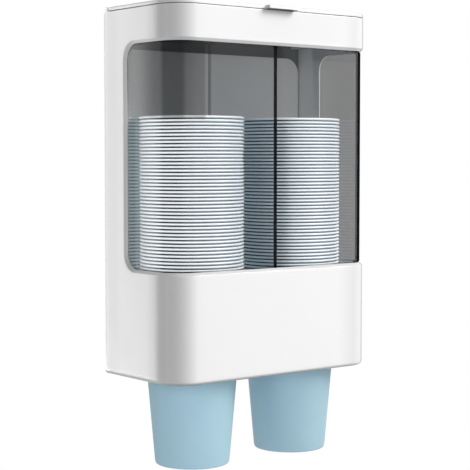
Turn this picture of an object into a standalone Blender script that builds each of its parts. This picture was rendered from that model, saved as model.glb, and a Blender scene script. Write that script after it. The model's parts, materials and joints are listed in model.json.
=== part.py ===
"""Twin-tube pull-down cup dispenser for a wall, loaded with two stacks of paper cups.

Metres, +Z up. The origin is the middle of the flat back face that lies on the wall,
+X points to the right of someone facing the dispenser and the front faces -Y.
"""
import math

import bmesh
import bpy
from mathutils import Matrix, Vector

# Paper cup
CUP_RIM_RADIUS = 0.0370
CUP_ROLL_WIDTH = 0.0022
CUP_ROLL_HEIGHT = 0.0021
CUP_BASE_RADIUS = 0.0264
CUP_HEIGHT = 0.0980
CUP_WALL = 0.0006
CUP_FLOOR = 0.0008
CUP_FLOOR_RECESS = 0.0012
NEST_PITCH = 0.00243
CUPS_IN_STACK = 61

# Fits
GAP = 0.0003
CUP_RUNNING_GAP = 0.0009
RIM_TO_PANE_FRONT = 0.0010
RIM_TO_PANE_SIDE = 0.0042
RIM_TO_PARTITION = 0.0068
OVERRUN = 0.0040
BITE = 0.0008

# Housing
WALL = 0.0028
PANE = 0.0014
BACK_PLATE = 0.0024
PARTITION = 0.0030
LOWER_HEIGHT = 0.0717
WINDOW_HEIGHT = 0.1595
HEADER_HEIGHT = 0.0223
CORNER_RADIUS = 0.0200
FOOT_ROUND = 0.0018
WINDOW_REAR = 0.0243
WINDOW_CORNER = 0.0130
WINDOW_FLARE = 0.0020
PANE_OVERLAP = 0.0050

# Outlets
RIM_LEVEL = 0.0325
DECK = 0.0024
SKIRT_WALL = 0.0014
GASKET = 0.0012
GASKET_GRIP = 0.0010
FINGER_LENGTH = 0.0022
FINGER_SLOT = 0.0008
FINGERS = 16
CLAMP = 0.0016
EAR_RADIUS = 0.0030
EAR_REACH = 0.0043
EAR_ANGLE = math.radians(30.0)

# Lid and hinge
LID = 0.0026
LID_SEAM = 0.0004
LID_ROUND = 0.0010
LIP_DEPTH = 0.0036
LIP_WALL = 0.0014
LIP_CLEARANCE = 0.0005
LIP_REAR = 0.0140
TAB_WIDTH = 0.0265
TAB_REACH = 0.0045
TAB_CORNER = 0.0011
KNUCKLE_RADIUS = 0.0029
KNUCKLE_STEP = 0.0001
KNUCKLE_TO_WALL = 0.0005
CHEEK_RADIUS = 0.0031
CHEEK_CLEARANCE = 0.0005
PIN_RADIUS = 0.0012
PIN_RUNNING_GAP = 0.0002
PIN_IN_CHEEK = 0.0018
PIN_IN_LID = 0.0080

# Fasteners
SCREW_RADIUS = 0.0013
SCREW_HEAD_RADIUS = 0.0028
SCREW_HEAD = 0.0012
HEAD_SINK = 0.0001
SCREW_LENGTH = 0.0080
RING_SCREW_RADIUS = 0.0010
RING_SCREW_HEAD_RADIUS = 0.0022
RING_SCREW_LENGTH = 0.0060
BOSS_HALF = 0.0042
BOSS_LENGTH = 0.0095
BOSS_DROP = 0.0140
BOSS_LIFT = 0.0520
POST_RADIUS = 0.0036

# Wall fixing and partition guides
KEYHOLE_SPACING = 0.0560
KEYHOLE_DROP = 0.0900
KEYHOLE_HEAD_RADIUS = 0.0048
KEYHOLE_SLOT = 0.0052
KEYHOLE_RISE = 0.0090
PLATE_CORNER = 0.0030
RAIL_WALL = 0.0012
RAIL_HEIGHT = 0.0030
RAIL_LENGTH = 0.0480
TOP_RAIL_LENGTH = 0.0120

# Facets
ARC_STEPS = 8
WINDOW_ARC_STEPS = 6
HOLE_STEPS = 32
CUP_STEPS = 28
STACK_STEPS = 16
SMALL_STEPS = 10
EAR_STEPS = 4
TAB_STEPS = 2
PLATE_STEPS = 3

# Places worked out from the sizes
CUP_TOP_RADIUS = CUP_RIM_RADIUS - CUP_ROLL_WIDTH
HOLE_RADIUS = CUP_RIM_RADIUS + CUP_RUNNING_GAP
SKIRT_RADIUS = HOLE_RADIUS + SKIRT_WALL
AXIS_Y = -(BACK_PLATE + GAP + SKIRT_RADIUS)
AXIS_X = PARTITION / 2 + RIM_TO_PARTITION + CUP_RIM_RADIUS
SHELL_AND_PANE = WALL + GAP + PANE
HALF_WIDTH = AXIS_X + CUP_RIM_RADIUS + RIM_TO_PANE_SIDE + SHELL_AND_PANE
DEPTH = CUP_RIM_RADIUS + RIM_TO_PANE_FRONT + SHELL_AND_PANE - AXIS_Y
HEIGHT = LOWER_HEIGHT + WINDOW_HEIGHT + HEADER_HEIGHT
FLOOR_Z = -HEIGHT / 2
SEAM_Z = HEIGHT / 2
WINDOW_LOW = FLOOR_Z + LOWER_HEIGHT
WINDOW_HIGH = SEAM_Z - HEADER_HEIGHT
RIM_Z = FLOOR_Z + RIM_LEVEL
GASKET_TOP = RIM_Z - CUP_ROLL_HEIGHT - GAP
DECK_TOP = GASKET_TOP - GASKET - GAP
DECK_LOW = DECK_TOP - DECK
CLAMP_LOW = GASKET_TOP + GAP
CLAMP_TOP = CLAMP_LOW + CLAMP
HINGE_Y = -(KNUCKLE_RADIUS + KNUCKLE_TO_WALL)
LID_LOW = SEAM_Z + LID_SEAM
LID_TOP = LID_LOW + LID
HINGE_Z = LID_TOP - KNUCKLE_RADIUS - KNUCKLE_STEP
INNER_HALF_WIDTH = HALF_WIDTH - WALL
INNER_FRONT = DEPTH - WALL
SCREW_HOLE = SCREW_RADIUS + GAP
RING_SCREW_HOLE = RING_SCREW_RADIUS + GAP


def clear_scene():
    for item in list(bpy.data.objects):
        bpy.data.objects.remove(item)


def collection(name):
    made = bpy.data.collections.new(name)
    bpy.context.scene.collection.children.link(made)
    return made


def finish(name, colour, roughness, metallic=0.0, alpha=1.0):
    """A Principled material in one plain finish."""
    made = bpy.data.materials.new(name)
    made.use_nodes = True
    shader = made.node_tree.nodes["Principled BSDF"]
    shader.inputs["Base Color"].default_value = (*colour, 1.0)
    shader.inputs["Roughness"].default_value = roughness
    shader.inputs["Metallic"].default_value = metallic
    shader.inputs["Alpha"].default_value = alpha
    made.diffuse_color = (*colour, alpha)
    return made


def arc(centre, radius, start, end, steps):
    """Points on a circle's arc, both ends included; angles are in radians."""
    turns = [start + (end - start) * i / steps for i in range(steps + 1)]
    return [(centre[0] + radius * math.cos(t), centre[1] + radius * math.sin(t)) for t in turns]


def circle(centre, radius, steps):
    return arc(centre, radius, 0.0, 2 * math.pi, steps)[:-1]


def front_run(inset, rear):
    """The housing's plan, from the left rear round both front corners to the right rear, inset inwards."""
    half = HALF_WIDTH - inset
    front = -(DEPTH - inset)
    radius = CORNER_RADIUS - inset
    left = (-half + radius, front + radius)
    right = (half - radius, front + radius)
    return [
        (-half, rear),
        *arc(left, radius, math.pi, 1.5 * math.pi, ARC_STEPS),
        *arc(right, radius, 1.5 * math.pi, 2 * math.pi, ARC_STEPS),
        (half, rear),
    ]


def band(inset, thickness, rear):
    """A strip of even thickness that follows the housing's plan round the front."""
    return front_run(inset, rear) + front_run(inset + thickness, rear)[::-1]


def rounded(low, high, radius, steps):
    """A rectangle with round corners, from its low and high corner."""
    (x0, y0), (x1, y1) = low, high
    centres = [(x1 - radius, y1 - radius), (x0 + radius, y1 - radius),
               (x0 + radius, y0 + radius), (x1 - radius, y0 + radius)]
    points = []
    for i, centre in enumerate(centres):
        points += arc(centre, radius, i * math.pi / 2, (i + 1) * math.pi / 2, steps)
    return points


TURNED = {
    "X": Matrix(((0, 0, 1, 0), (1, 0, 0, 0), (0, 1, 0, 0), (0, 0, 0, 1))),
    "Y": Matrix(((1, 0, 0, 0), (0, 0, -1, 0), (0, 1, 0, 0), (0, 0, 0, 1))),
    "Z": Matrix.Identity(4),
}


def weld(mesh):
    work = bmesh.new()
    work.from_mesh(mesh)
    bmesh.ops.remove_doubles(work, verts=work.verts, dist=GAP / 100)
    bmesh.ops.recalc_face_normals(work, faces=work.faces)
    work.to_mesh(mesh)
    work.free()


def prism(name, outlines, low, high, axis, group):
    """A flat outline, with any holes after it, filled and extruded from low to high along an axis.

    Along X the outline is in (Y, Z), along Y it is in (X, Z) and along Z it is in (X, Y).
    """
    flat = bpy.data.curves.new(name, "CURVE")
    flat.dimensions = "2D"
    flat.fill_mode = "BOTH"
    flat.extrude = (high - low) / 2
    for outline in outlines:
        spline = flat.splines.new("POLY")
        spline.points.add(len(outline) - 1)
        for point, (x, y) in zip(spline.points, outline):
            point.co = (x, y, 0.0, 1.0)
        spline.use_cyclic_u = True
    guide = bpy.data.objects.new(name + "_outline", flat)
    group.objects.link(guide)
    middle = (low + high) / 2
    place = {"X": (middle, 0, 0), "Y": (0, middle, 0), "Z": (0, 0, middle)}[axis]
    guide.matrix_world = Matrix.Translation(place) @ TURNED[axis]
    bpy.context.view_layer.update()
    seen = guide.evaluated_get(bpy.context.evaluated_depsgraph_get())
    mesh = bpy.data.meshes.new_from_object(seen)
    weld(mesh)
    solid = bpy.data.objects.new(name, mesh)
    solid.matrix_world = guide.matrix_world
    group.objects.link(solid)
    bpy.data.objects.remove(guide)
    return solid


def block(name, low, high, group):
    """A box between two opposite corners."""
    mesh = bpy.data.meshes.new(name)
    work = bmesh.new()
    bmesh.ops.create_cube(work, size=1.0)
    size = [b - a for a, b in zip(low, high)]
    bmesh.ops.scale(work, vec=size, verts=work.verts)
    work.to_mesh(mesh)
    work.free()
    solid = bpy.data.objects.new(name, mesh)
    solid.location = [(a + b) / 2 for a, b in zip(low, high)]
    group.objects.link(solid)
    return solid


def rod(name, centre, radius, low, high, axis, steps, group):
    """A round bar along an axis. The centre is given in the plane across that axis."""
    return prism(name, [circle(centre, radius, steps)], low, high, axis, group)


def turned(name, profile, steps, place, group):
    """A profile in (radius, height), spun round the Z axis at its place."""
    mesh = bpy.data.meshes.new(name)
    points = [(radius, 0.0, height) for radius, height in profile]
    mesh.from_pydata(points, [(i, i + 1) for i in range(len(points) - 1)], [])
    solid = bpy.data.objects.new(name, mesh)
    solid.location = place
    group.objects.link(solid)
    spin = solid.modifiers.new("Spin", "SCREW")
    spin.angle = 2 * math.pi
    spin.steps = steps
    spin.render_steps = steps
    spin.use_merge_vertices = True
    spin.merge_threshold = CUP_WALL / 20
    spin.use_smooth_shade = False
    return solid


def combine(solid, other, operation):
    """Cut or join another solid; the other stays as a guide among the cutters."""
    step = solid.modifiers.new(other.name, "BOOLEAN")
    step.operation = operation
    step.solver = "EXACT"
    step.object = other
    for group in list(other.users_collection):
        group.objects.unlink(other)
    CUTTERS.objects.link(other)
    other.hide_render = True
    other.display_type = "WIRE"


def cut(solid, other):
    combine(solid, other, "DIFFERENCE")


def join(solid, other):
    combine(solid, other, "UNION")


def settle(solid):
    """Replace the mesh by its finished form, so that edges made by the cuts can be rounded."""
    bpy.context.view_layer.update()
    seen = solid.evaluated_get(bpy.context.evaluated_depsgraph_get())
    mesh = bpy.data.meshes.new_from_object(seen)
    solid.modifiers.clear()
    solid.data = mesh
    weld(mesh)


def round_edges(solid, wanted, width, steps):
    """Round the edges whose two ends, in world coordinates, and face directions pass the test."""
    mesh = solid.data
    work = bmesh.new()
    work.from_mesh(mesh)
    weight = work.edges.layers.float.get("bevel_weight_edge")
    if weight is None:
        weight = work.edges.layers.float.new("bevel_weight_edge")
    turn = solid.matrix_world.to_3x3()
    for edge in work.edges:
        ends = [solid.matrix_world @ v.co for v in edge.verts]
        normals = [turn @ f.normal for f in edge.link_faces]
        edge[weight] = 1.0 if len(normals) == 2 and wanted(ends, normals) else 0.0
    work.to_mesh(mesh)
    work.free()
    bevel = solid.modifiers.new("Rounding", "BEVEL")
    bevel.limit_method = "WEIGHT"
    bevel.width = width
    bevel.segments = steps
    bevel.use_clamp_overlap = True


def sharp(normals, degrees=50.0):
    return normals[0].angle(normals[1], 0.0) > math.radians(degrees)


def paint(solid, material, smooth=True):
    solid.data.materials.clear()
    solid.data.materials.append(material)
    if smooth and len(solid.data.polygons):
        solid.data.shade_smooth()
        solid.data.set_sharp_from_angle(angle=math.radians(35.0))


def on_outer_wall(point):
    """Whether a point lies on the outer face of the housing's front or sides."""
    half = HALF_WIDTH - CORNER_RADIUS
    front = -(DEPTH - CORNER_RADIUS)
    reach = Vector((max(abs(point.x) - half, 0.0), max(front - point.y, 0.0)))
    return reach.length > CORNER_RADIUS - GAP


def boss_places():
    x = INNER_HALF_WIDTH - BOSS_HALF
    return [(side * x, z) for z in (SEAM_Z - BOSS_DROP, FLOOR_Z + BOSS_LIFT) for side in (-1, 1)]


def post_places():
    """Deck posts: two in the rear corners and two in the round front corners."""
    rear = (INNER_HALF_WIDTH - POST_RADIUS + BITE, -(BACK_PLATE + GAP + POST_RADIUS))
    reach = (CORNER_RADIUS - WALL - POST_RADIUS + BITE) * math.sqrt(0.5)
    front = (HALF_WIDTH - CORNER_RADIUS + reach, -(DEPTH - CORNER_RADIUS + reach))
    return [(side * x, y) for x, y in (rear, front) for side in (-1, 1)]


def ear_places():
    """Screw ears of one clamp ring, round its own axis."""
    reach = SKIRT_RADIUS + EAR_REACH - BITE
    x, y = reach * math.cos(EAR_ANGLE), reach * math.sin(EAR_ANGLE)
    return [(-x, -y), (x, -y), (-x, y), (x, y)]


def make_front_cover():
    """One moulded shell: header, sides, window opening, lower housing and floor with two outlets."""
    cover = prism("front_cover", [front_run(0.0, 0.0)], FLOOR_Z, SEAM_Z, "Z", PARTS)
    hollow = front_run(WALL, OVERRUN)
    cut(cover, prism("cover_hollow", [hollow], FLOOR_Z + WALL, SEAM_Z + OVERRUN, "Z", CUTTERS))
    for i, (x, z) in enumerate(boss_places()):
        side = math.copysign(1.0, x)
        inner, outer = x - side * BOSS_HALF, side * (INNER_HALF_WIDTH + BITE)
        low = (min(inner, outer), -(BACK_PLATE + GAP + BOSS_LENGTH), z - BOSS_HALF)
        high = (max(inner, outer), -(BACK_PLATE + GAP), z + BOSS_HALF)
        join(cover, block(f"boss_{i + 1}", low, high, CUTTERS))
    for i, centre in enumerate(post_places()):
        low, high = FLOOR_Z + WALL - BITE, DECK_LOW - GAP
        join(cover, rod(f"post_{i + 1}", centre, POST_RADIUS, low, high, "Z", SMALL_STEPS, CUTTERS))
    for side, name in ((-1, "left"), (1, "right")):
        ends = sorted((side * INNER_HALF_WIDTH, side * HALF_WIDTH))
        hinge = (HINGE_Y, HINGE_Z)
        join(cover, rod(f"cheek_{name}", hinge, CHEEK_RADIUS, *ends, "X", 2 * SMALL_STEPS, CUTTERS))
    rear, front = -WINDOW_REAR - WINDOW_FLARE, -DEPTH - WINDOW_CORNER - OVERRUN
    low, high = WINDOW_LOW + WINDOW_FLARE, WINDOW_HIGH - WINDOW_FLARE
    radius = WINDOW_CORNER - WINDOW_FLARE
    window = rounded((front, low), (rear, high), radius, WINDOW_ARC_STEPS)
    across = HALF_WIDTH + OVERRUN
    cut(cover, prism("window_cutter", [window], -across, across, "X", CUTTERS))
    for side, name in ((-1, "left"), (1, "right")):
        centre = (side * AXIS_X, AXIS_Y)
        low, high = FLOOR_Z - OVERRUN, FLOOR_Z + WALL + GAP
        hole = rod(f"outlet_{name}", centre, SKIRT_RADIUS + GAP, low, high, "Z", HOLE_STEPS, CUTTERS)
        cut(cover, hole)
        ends = sorted((side * (INNER_HALF_WIDTH - OVERRUN), side * (INNER_HALF_WIDTH + PIN_IN_CHEEK)))
        radius = PIN_RADIUS + PIN_RUNNING_GAP
        cut(cover, rod(f"pin_hole_{name}", (HINGE_Y, HINGE_Z), radius, *ends, "X", SMALL_STEPS, CUTTERS))
    for i, centre in enumerate(boss_places()):
        low, high = -(BACK_PLATE + BOSS_LENGTH - BITE), OVERRUN
        cut(cover, rod(f"boss_hole_{i + 1}", centre, SCREW_HOLE, low, high, "Y", SMALL_STEPS, CUTTERS))
    for i, centre in enumerate(post_places()):
        low, high = FLOOR_Z + WALL + BITE, DECK_LOW + OVERRUN
        cut(cover, rod(f"post_hole_{i + 1}", centre, SCREW_HOLE, low, high, "Z", SMALL_STEPS, CUTTERS))
    settle(cover)

    def window_rim(ends, normals):
        inside = all(WINDOW_LOW < p.z < WINDOW_HIGH and p.y < rear + GAP for p in ends)
        outside = all(on_outer_wall(p) for p in ends)
        return inside and outside and sharp(normals)

    def foot(ends, normals):
        return all(abs(p.z - FLOOR_Z) < GAP and on_outer_wall(p) for p in ends) and sharp(normals)

    round_edges(cover, window_rim, WINDOW_FLARE, 1)
    settle(cover)
    round_edges(cover, foot, FOOT_ROUND, 3)
    paint(cover, WHITE)
    return cover


def make_back_plate():
    """Flat rear plate with two keyholes, sunk screw seats and the partition's upper guides."""
    half = INNER_HALF_WIDTH - GAP
    low, high = FLOOR_Z + WALL + GAP, HINGE_Z - KNUCKLE_RADIUS - 2 * GAP
    outline = rounded((-half, low), (half, high), PLATE_CORNER, PLATE_STEPS)
    plate = prism("back_plate", [outline], -BACK_PLATE, 0.0, "Y", PARTS)
    for side, name in ((-1, "left"), (1, "right")):
        x, z = side * KEYHOLE_SPACING / 2, SEAM_Z - KEYHOLE_DROP
        neck = KEYHOLE_SLOT / 2
        meet = math.asin(neck / KEYHOLE_HEAD_RADIUS)
        head = arc((x, z), KEYHOLE_HEAD_RADIUS, math.pi / 2 + meet, 2.5 * math.pi - meet, 2 * ARC_STEPS)
        slot = arc((x, z + KEYHOLE_RISE), neck, 0.0, math.pi, ARC_STEPS)
        keyhole = prism(f"keyhole_{name}", [head + slot], -OVERRUN, OVERRUN, "Y", CUTTERS)
        cut(plate, keyhole)
    for i, centre in enumerate(boss_places()):
        hole = rod(f"plate_hole_{i + 1}", centre, SCREW_HOLE, -OVERRUN, OVERRUN, "Y", SMALL_STEPS, CUTTERS)
        cut(plate, hole)
        seat = -(SCREW_HEAD + HEAD_SINK + GAP)
        radius = SCREW_HEAD_RADIUS + GAP
        cut(plate, rod(f"plate_seat_{i + 1}", centre, radius, seat, OVERRUN, "Y", 2 * SMALL_STEPS, CUTTERS))
    for side, name in ((-1, "left"), (1, "right")):
        near, far = PARTITION / 2 + GAP, PARTITION / 2 + GAP + RAIL_WALL
        xs = sorted((side * near, side * far))
        top = high - PLATE_CORNER
        low_corner = (xs[0], -BACK_PLATE - RAIL_HEIGHT, top - TOP_RAIL_LENGTH)
        join(plate, block(f"plate_rail_{name}", low_corner, (xs[1], -BACK_PLATE + BITE, top), CUTTERS))
    paint(plate, GREY)
    return plate


def make_window_pane():
    """Smoked pane bent round both front corners, seated behind the window opening."""
    rear = -WINDOW_REAR + PANE_OVERLAP
    outline = band(WALL + GAP, PANE, rear)
    pane = prism("window_pane", [outline], WINDOW_LOW - PANE_OVERLAP, WINDOW_HIGH + PANE_OVERLAP, "Z", PARTS)
    paint(pane, SMOKE)
    return pane


def make_partition():
    """Upright smoked plate that keeps the two stacks apart."""
    front = -(INNER_FRONT - GAP - PANE - GAP)
    low = (-PARTITION / 2, front, DECK_TOP + GAP)
    high = (PARTITION / 2, -(BACK_PLATE + GAP), SEAM_Z - LIP_DEPTH - BITE)
    plate = block("partition", low, high, PARTS)
    paint(plate, SMOKE, smooth=False)
    return plate


def make_outlet_deck():
    """Shelf across the lower housing: two outlets with skirts, pads for the rings and partition rails."""
    rear = -(BACK_PLATE + GAP)
    outline = front_run(WALL + GAP, rear)
    deck = prism("outlet_deck", [outline], DECK_LOW, DECK_TOP, "Z", PARTS)
    for side, name in ((-1, "left"), (1, "right")):
        centre = (side * AXIS_X, AXIS_Y)
        skirt = rod(f"skirt_{name}", centre, SKIRT_RADIUS, FLOOR_Z, DECK_LOW + BITE, "Z", HOLE_STEPS, CUTTERS)
        join(deck, skirt)
        for i, (x, y) in enumerate(ear_places()):
            pad = (centre[0] + x, centre[1] + y)
            low, high = DECK_TOP - BITE, CLAMP_LOW - GAP
            join(deck, rod(f"pad_{name}_{i + 1}", pad, EAR_RADIUS, low, high, "Z", SMALL_STEPS, CUTTERS))
        xs = sorted((side * (PARTITION / 2 + GAP), side * (PARTITION / 2 + GAP + RAIL_WALL)))
        low = (xs[0], AXIS_Y - RAIL_LENGTH / 2, DECK_TOP - BITE)
        high = (xs[1], AXIS_Y + RAIL_LENGTH / 2, DECK_TOP + RAIL_HEIGHT)
        join(deck, block(f"deck_rail_{name}", low, high, CUTTERS))
    for side, name in ((-1, "left"), (1, "right")):
        centre = (side * AXIS_X, AXIS_Y)
        low, high = FLOOR_Z - OVERRUN, DECK_TOP + OVERRUN
        cut(deck, rod(f"deck_bore_{name}", centre, HOLE_RADIUS, low, high, "Z", HOLE_STEPS, CUTTERS))
        for i, (x, y) in enumerate(ear_places()):
            at = (centre[0] + x, centre[1] + y)
            hole = rod(f"pad_hole_{name}_{i + 1}", at, RING_SCREW_HOLE, DECK_LOW - OVERRUN,
                       DECK_TOP + OVERRUN, "Z", SMALL_STEPS, CUTTERS)
            cut(deck, hole)
    for i, centre in enumerate(post_places()):
        low, high = DECK_LOW - OVERRUN, DECK_TOP + OVERRUN
        cut(deck, rod(f"deck_hole_{i + 1}", centre, SCREW_HOLE, low, high, "Z", SMALL_STEPS, CUTTERS))
    paint(deck, WHITE)
    return deck


def finger_outline(inner, root, slot):
    """The inner edge of a gasket: fingers that reach inwards, parted by narrow slots."""
    points = []
    for i in range(FINGERS):
        middle = 2 * math.pi * i / FINGERS
        half_step = math.pi / FINGERS
        tip = half_step - slot / (2 * inner)
        foot = half_step - slot / (2 * root)
        points += arc((0.0, 0.0), inner, middle - tip, middle + tip, 2)
        points += arc((0.0, 0.0), root, middle + foot, middle + 2 * half_step - foot, 1)
    return points


def make_finger_gasket(name, side):
    """Soft ring whose fingers carry the rolled rim of the lowest cup."""
    outer = circle((0.0, 0.0), SKIRT_RADIUS, HOLE_STEPS)
    tip = CUP_RIM_RADIUS - GASKET_GRIP
    inner = finger_outline(tip, tip + FINGER_LENGTH, FINGER_SLOT)
    ring = prism(f"{name}_finger_gasket", [outer, inner], 0.0, GASKET, "Z", PARTS)
    ring.location += Vector((side * AXIS_X, AXIS_Y, DECK_TOP + GAP))
    paint(ring, SILICONE, smooth=False)
    return ring


def make_clamp_ring(name, side):
    """Ring with four screw ears that holds the gasket down on the deck."""
    centre = Vector((side * AXIS_X, AXIS_Y, 0.0))
    outer = SKIRT_RADIUS
    ring = rod(f"{name}_clamp_ring", centre, outer, CLAMP_LOW, CLAMP_TOP, "Z", HOLE_STEPS, PARTS)
    for i, (x, y) in enumerate(ear_places()):
        turn = math.atan2(y, x)
        reach = math.hypot(x, y)
        ear = arc((reach, 0.0), EAR_RADIUS, -math.pi / 2, math.pi / 2, EAR_STEPS)
        root = (HOLE_RADIUS + SKIRT_RADIUS) / 2
        ear += [(root, EAR_RADIUS), (root, -EAR_RADIUS)]
        placed = [(centre.x + a * math.cos(turn) - b * math.sin(turn),
                   centre.y + a * math.sin(turn) + b * math.cos(turn)) for a, b in ear]
        join(ring, prism(f"{name}_ear_{i + 1}", [placed], CLAMP_LOW, CLAMP_TOP, "Z", CUTTERS))
    bore = (CLAMP_LOW - OVERRUN, CLAMP_TOP + OVERRUN)
    cut(ring, rod(f"{name}_ring_bore", centre, HOLE_RADIUS, *bore, "Z", HOLE_STEPS, CUTTERS))
    for i, (x, y) in enumerate(ear_places()):
        at = (centre.x + x, centre.y + y)
        cut(ring, rod(f"{name}_ear_hole_{i + 1}", at, RING_SCREW_HOLE, *bore, "Z", SMALL_STEPS, CUTTERS))
    paint(ring, WHITE)
    return ring


def screw_profile(radius, head_radius, length):
    """A pan-head screw standing on its point, with the seat of its head at height zero."""
    crown = SCREW_HEAD / 3
    return [
        (0.0, SCREW_HEAD),
        (head_radius - crown, SCREW_HEAD),
        (head_radius, SCREW_HEAD - crown),
        (head_radius, 0.0),
        (radius, 0.0),
        (radius, radius - length),
        (0.0, -length),
    ]


def make_screws():
    """Every screw is its own piece: four in the back, four in the deck and four in each clamp ring."""
    screws = []
    profile = screw_profile(SCREW_RADIUS, SCREW_HEAD_RADIUS, SCREW_LENGTH)
    for i, (x, z) in enumerate(boss_places()):
        seat = -(SCREW_HEAD + HEAD_SINK)
        screw = turned(f"cover_screw_{i + 1}", profile, SMALL_STEPS, (x, seat, z), PARTS)
        screw.rotation_euler = (-math.pi / 2, 0.0, 0.0)
        screws.append(screw)
    for i, (x, y) in enumerate(post_places()):
        place = (x, y, DECK_TOP + GAP)
        screws.append(turned(f"deck_screw_{i + 1}", profile, SMALL_STEPS, place, PARTS))
    profile = screw_profile(RING_SCREW_RADIUS, RING_SCREW_HEAD_RADIUS, RING_SCREW_LENGTH)
    for side, name in ((-1, "left"), (1, "right")):
        for i, (x, y) in enumerate(ear_places()):
            place = (side * AXIS_X + x, AXIS_Y + y, CLAMP_TOP + GAP)
            screws.append(turned(f"{name}_ring_screw_{i + 1}", profile, SMALL_STEPS, place, PARTS))
    for screw in screws:
        paint(screw, STEEL)
    return screws


def make_lid():
    """Flat lid with a finger tab, a locating lip and a knuckle along its rear edge."""
    wide_rear = HINGE_Y - CHEEK_RADIUS - CHEEK_CLEARANCE
    knuckle = INNER_HALF_WIDTH - CHEEK_CLEARANCE
    strip = knuckle - BITE
    outline = front_run(0.0, wide_rear)
    outline += [(strip, wide_rear), (strip, HINGE_Y), (-strip, HINGE_Y), (-strip, wide_rear)]
    lid = prism("lid", [outline], LID_LOW, LID_TOP, "Z", PARTS)
    tab_low, tab_high = (-TAB_WIDTH / 2, -DEPTH - TAB_REACH), (TAB_WIDTH / 2, -DEPTH + TAB_REACH)
    tab = rounded(tab_low, tab_high, TAB_CORNER, TAB_STEPS)
    join(lid, prism("lid_tab", [tab], LID_LOW, LID_TOP, "Z", CUTTERS))
    lip = band(WALL + LIP_CLEARANCE, LIP_WALL, -LIP_REAR)
    join(lid, prism("lid_lip", [lip], SEAM_Z - LIP_DEPTH, LID_LOW + BITE, "Z", CUTTERS))
    hinge = (HINGE_Y, HINGE_Z)
    join(lid, rod("lid_knuckle", hinge, KNUCKLE_RADIUS, -knuckle, knuckle, "X", 2 * SMALL_STEPS, CUTTERS))
    for side, name in ((-1, "left"), (1, "right")):
        ends = sorted((side * (INNER_HALF_WIDTH - PIN_IN_LID - GAP), side * (knuckle + OVERRUN)))
        radius = PIN_RADIUS + PIN_RUNNING_GAP
        cut(lid, rod(f"lid_pin_hole_{name}", hinge, radius, *ends, "X", SMALL_STEPS, CUTTERS))
    settle(lid)

    def top_rim(ends, normals):
        level = all(abs(p.z - LID_TOP) < GAP for p in ends)
        return level and min(p.y for p in ends) < wide_rear - GAP and sharp(normals)

    round_edges(lid, top_rim, LID_ROUND, 2)
    paint(lid, WHITE)
    return lid


def make_hinge_pin(name, side):
    """Stub pin from a cheek of the cover into the lid's knuckle."""
    ends = sorted((side * (INNER_HALF_WIDTH - PIN_IN_LID), side * (INNER_HALF_WIDTH + PIN_IN_CHEEK - GAP)))
    pin = rod(f"{name}_hinge_pin", (HINGE_Y, HINGE_Z), PIN_RADIUS, *ends, "X", SMALL_STEPS, PARTS)
    paint(pin, STEEL)
    return pin


def cup_inside(top):
    """The inner face of a cup, from the middle of its floor up to the rim; top is the rim's height."""
    floor = top - CUP_HEIGHT + CUP_FLOOR_RECESS + CUP_FLOOR
    return [
        (0.0, floor),
        (CUP_BASE_RADIUS - CUP_WALL, floor),
        (CUP_TOP_RADIUS - CUP_WALL, top - CUP_ROLL_HEIGHT / 2),
        (CUP_TOP_RADIUS + CUP_ROLL_WIDTH / 4, top),
        (CUP_RIM_RADIUS - CUP_ROLL_WIDTH / 4, top),
    ]


def make_hanging_cup(name, side):
    """The lowest cup, whose rolled rim lies on the gasket while its body hangs out of the housing."""
    foot = CUP_BASE_RADIUS - CUP_WALL
    profile = cup_inside(0.0) + [
        (CUP_RIM_RADIUS, -CUP_ROLL_HEIGHT / 2),
        (CUP_RIM_RADIUS - CUP_ROLL_WIDTH / 4, -CUP_ROLL_HEIGHT),
        (CUP_TOP_RADIUS, -CUP_ROLL_HEIGHT),
        (CUP_BASE_RADIUS, CUP_WALL - CUP_HEIGHT),
        (foot, -CUP_HEIGHT),
        (foot - CUP_WALL, CUP_FLOOR_RECESS - CUP_HEIGHT),
        (0.0, CUP_FLOOR_RECESS - CUP_HEIGHT),
    ]
    cup = turned(f"{name}_hanging_cup", profile, CUP_STEPS, (side * AXIS_X, AXIS_Y, RIM_Z), PARTS)
    paint(cup, PAPER)
    return cup


def make_cup_stack(name, side):
    """All the nested cups above the lowest one, as one solid: rims outside, the top cup's hollow inside.

    Below the window, where no rim shows, the rims run together into a plain cylinder.
    """
    top = CUPS_IN_STACK * NEST_PITCH
    neck = (CUP_TOP_RADIUS + CUP_RIM_RADIUS) / 2
    lowest_shown = math.floor((WINDOW_LOW - PANE_OVERLAP - RIM_Z) / NEST_PITCH)
    profile = cup_inside(top)
    for cup in range(CUPS_IN_STACK, lowest_shown, -1):
        rim = cup * NEST_PITCH - CUP_ROLL_HEIGHT / 2
        profile += [(CUP_RIM_RADIUS, rim), (neck, rim - NEST_PITCH / 2)]
    under = NEST_PITCH - CUP_ROLL_HEIGHT
    inset = CUP_WALL + GAP
    profile += [
        (CUP_RIM_RADIUS, lowest_shown * NEST_PITCH),
        (CUP_RIM_RADIUS, under + CUP_ROLL_HEIGHT / 3),
        (CUP_RIM_RADIUS - CUP_ROLL_WIDTH / 4, under),
        (CUP_TOP_RADIUS - inset, under),
        (CUP_TOP_RADIUS - inset, -CUP_ROLL_HEIGHT),
        (CUP_BASE_RADIUS - inset, NEST_PITCH - CUP_HEIGHT),
        (0.0, NEST_PITCH - CUP_HEIGHT),
    ]
    stack = turned(f"{name}_cup_stack", profile, STACK_STEPS, (side * AXIS_X, AXIS_Y, RIM_Z), PARTS)
    paint(stack, PAPER)
    return stack


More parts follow.
